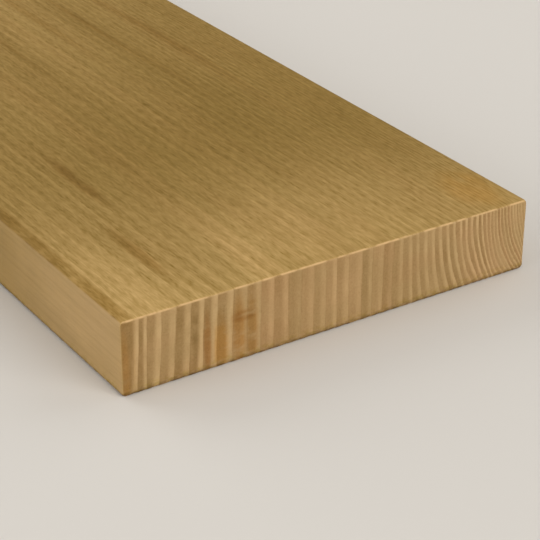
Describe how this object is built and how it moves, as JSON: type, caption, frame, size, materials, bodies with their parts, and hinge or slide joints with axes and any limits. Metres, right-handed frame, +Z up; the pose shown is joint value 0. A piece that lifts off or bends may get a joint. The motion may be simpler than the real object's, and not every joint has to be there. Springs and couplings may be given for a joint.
{
  "type": "timber plank",
  "caption": "Flat planed timber plank with eased edges and square ends, rift to quarter sawn, for boarding, shelving and general joinery.",
  "frame": {"origin": "on the floor under the middle of the plank, at the centre of its underside", "axes": "+X across the width, +Y along the grain, +Z up through the thickness"},
  "size_m": [0.15, 1.8, 0.025],
  "materials": {
    "timber": "planed smooth, thin clear satin finish"
  },
  "bodies": {
    "root": {"plank": "timber"}
  },
  "joints": []
}
